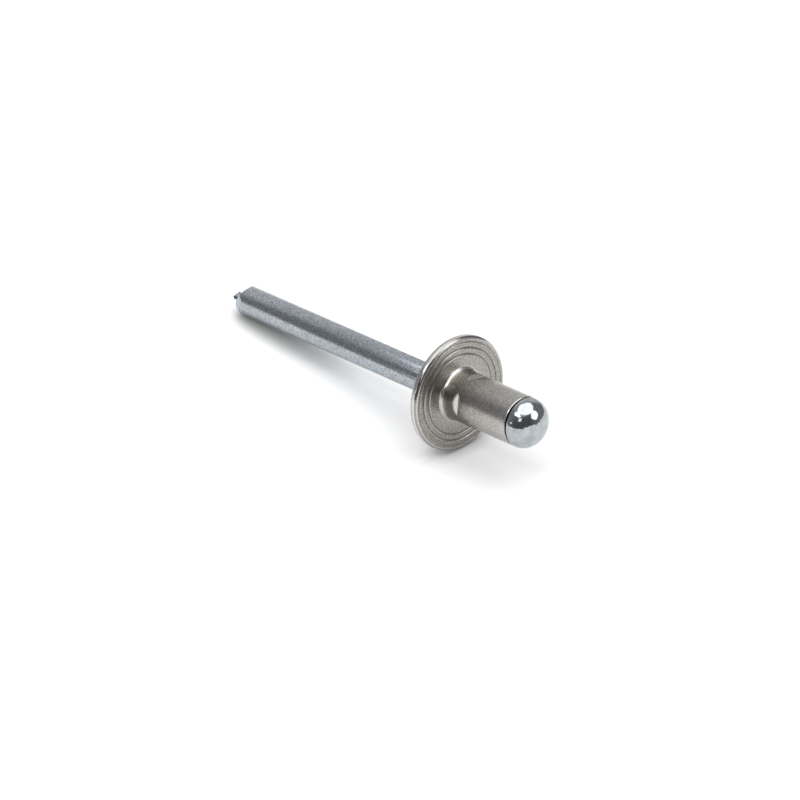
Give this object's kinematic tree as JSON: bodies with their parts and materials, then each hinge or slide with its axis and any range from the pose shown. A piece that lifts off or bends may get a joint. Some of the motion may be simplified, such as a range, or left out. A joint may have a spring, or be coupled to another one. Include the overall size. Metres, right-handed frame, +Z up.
{
  "type": "blind rivet",
  "caption": "Unset open-end blind rivet, also called a pop rivet: aluminium sleeve with a wide flange, crimped onto a steel pull mandrel with a domed head.",
  "frame": {"origin": "bottom centre of the bounding box, on the surface that the rivet lies on", "axes": "+X along the rivet from the mandrel's tail to its head, +Z up; the rivet's own axis rises towards +X by 8.12 degrees, because it rests on the flange's rim and on the mandrel's tail"},
  "size_m": [0.0408, 0.011, 0.011],
  "materials": {
    "sleeve_aluminium": "satin, cold formed",
    "mandrel_steel": "bright zinc plated, head polished"
  },
  "bodies": {
    "root": {"rivet_body": "sleeve_aluminium", "mandrel": "mandrel_steel"}
  },
  "joints": []
}
